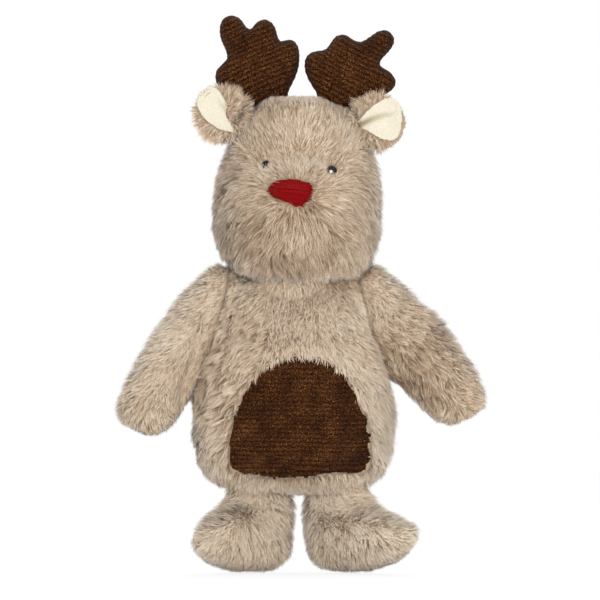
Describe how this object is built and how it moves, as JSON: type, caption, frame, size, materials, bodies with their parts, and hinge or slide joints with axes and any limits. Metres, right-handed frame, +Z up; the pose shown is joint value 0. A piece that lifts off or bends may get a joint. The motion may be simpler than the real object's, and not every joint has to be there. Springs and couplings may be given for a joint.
{
  "type": "plush deer",
  "caption": "Standing stuffed plush deer with a big head, round muzzle, flat branched cord antlers, cupped ears, open arms, short legs and a ribbed cord belly patch.",
  "frame": {"origin": "middle of the toy's box on the floor it stands on", "axes": "+Z up along the body, -Y the way the face looks, +X the viewer's right"},
  "size_m": [0.2118, 0.1106, 0.3194],
  "materials": {
    "plush": "beige-brown plush with a combed pile about 7 mm deep on a knitted backing",
    "filling": "loose white polyester fibre filling",
    "brown_cord": "dark brown ribbed cord fabric, ribs about 2.6 mm apart",
    "ear_lining": "short cream plush",
    "nose_thread": "dark red embroidery thread in satin stitch",
    "eye_thread": "black embroidery thread",
    "glint_thread": "white embroidery thread"
  },
  "bodies": {
    "torso": {"body_cover": "plush", "body_filling": "filling", "belly_patch": "brown_cord"},
    "neck": {"neck_filling": "filling"},
    "head": {"head_cover": "plush", "head_filling": "filling", "nose": "nose_thread", "left_eye": "eye_thread", "left_eye_glint": "glint_thread", "right_eye": "eye_thread", "right_eye_glint": "glint_thread"},
    "left_arm": {"left_arm_cover": "plush", "left_arm_filling": "filling"},
    "left_leg": {"left_leg_cover": "plush", "left_leg_filling": "filling"},
    "left_ear": {"left_ear_back": "plush", "left_ear_lining": "ear_lining"},
    "left_antler": {"left_antler_cover": "brown_cord", "left_antler_filling": "filling"},
    "right_arm": {"right_arm_cover": "plush", "right_arm_filling": "filling"},
    "right_leg": {"right_leg_cover": "plush", "right_leg_filling": "filling"},
    "right_ear": {"right_ear_back": "plush", "right_ear_lining": "ear_lining"},
    "right_antler": {"right_antler_cover": "brown_cord", "right_antler_filling": "filling"}
  },
  "joints": [
    {"name": "head_turn", "type": "hinge", "parent": "torso", "child": "neck", "pos_m": [-0.00271, 0.00854, 0.17], "axis": [0, 0, 1], "range_deg": [-30, 30], "stiffness_Nm_per_rad": 0.35},
    {"name": "head_nod", "type": "hinge", "parent": "neck", "child": "head", "pos_m": [-0.00271, 0.00854, 0.17], "axis": [1, 0, 0], "range_deg": [-10, 10], "stiffness_Nm_per_rad": 0.35},
    {"name": "left_arm_swing", "type": "hinge", "parent": "torso", "child": "left_arm", "pos_m": [-0.04211, 0.00854, 0.1495], "axis": [0.9373, 0, -0.3486], "range_deg": [-90, 60], "stiffness_Nm_per_rad": 0.12},
    {"name": "right_arm_swing", "type": "hinge", "parent": "torso", "child": "right_arm", "pos_m": [0.03669, 0.00854, 0.1495], "axis": [0.9373, 0, 0.3486], "range_deg": [-90, 60], "stiffness_Nm_per_rad": 0.12},
    {"name": "left_leg_swing", "type": "hinge", "parent": "torso", "child": "left_leg", "pos_m": [-0.02391, 0.00854, 0.042], "axis": [1, 0, 0], "range_deg": [-30, 20], "stiffness_Nm_per_rad": 1.2},
    {"name": "right_leg_swing", "type": "hinge", "parent": "torso", "child": "right_leg", "pos_m": [0.02219, 0.00854, 0.042], "axis": [1, 0, 0], "range_deg": [-30, 20], "stiffness_Nm_per_rad": 1.2},
    {"name": "left_ear_bend", "type": "hinge", "parent": "head", "child": "left_ear", "pos_m": [-0.03503, 0.00016, 0.25679], "axis": [0.5563, -0.0554, 0.8291], "range_deg": [-8, 30], "stiffness_Nm_per_rad": 0.01},
    {"name": "right_ear_bend", "type": "hinge", "parent": "head", "child": "right_ear", "pos_m": [0.03583, -0.00231, 0.25308], "axis": [-0.4692, -0.0196, 0.8829], "range_deg": [-30, 8], "stiffness_Nm_per_rad": 0.01},
    {"name": "left_antler_bend", "type": "hinge", "parent": "head", "child": "left_antler", "pos_m": [-0.01611, 0.01801, 0.27136], "axis": [0.9994, -0.0349, 0], "range_deg": [-15, 15], "stiffness_Nm_per_rad": 0.02},
    {"name": "right_antler_bend", "type": "hinge", "parent": "head", "child": "right_antler", "pos_m": [0.02043, 0.01674, 0.27144], "axis": [0.9994, -0.0349, 0], "range_deg": [-15, 15], "stiffness_Nm_per_rad": 0.02}
  ]
}
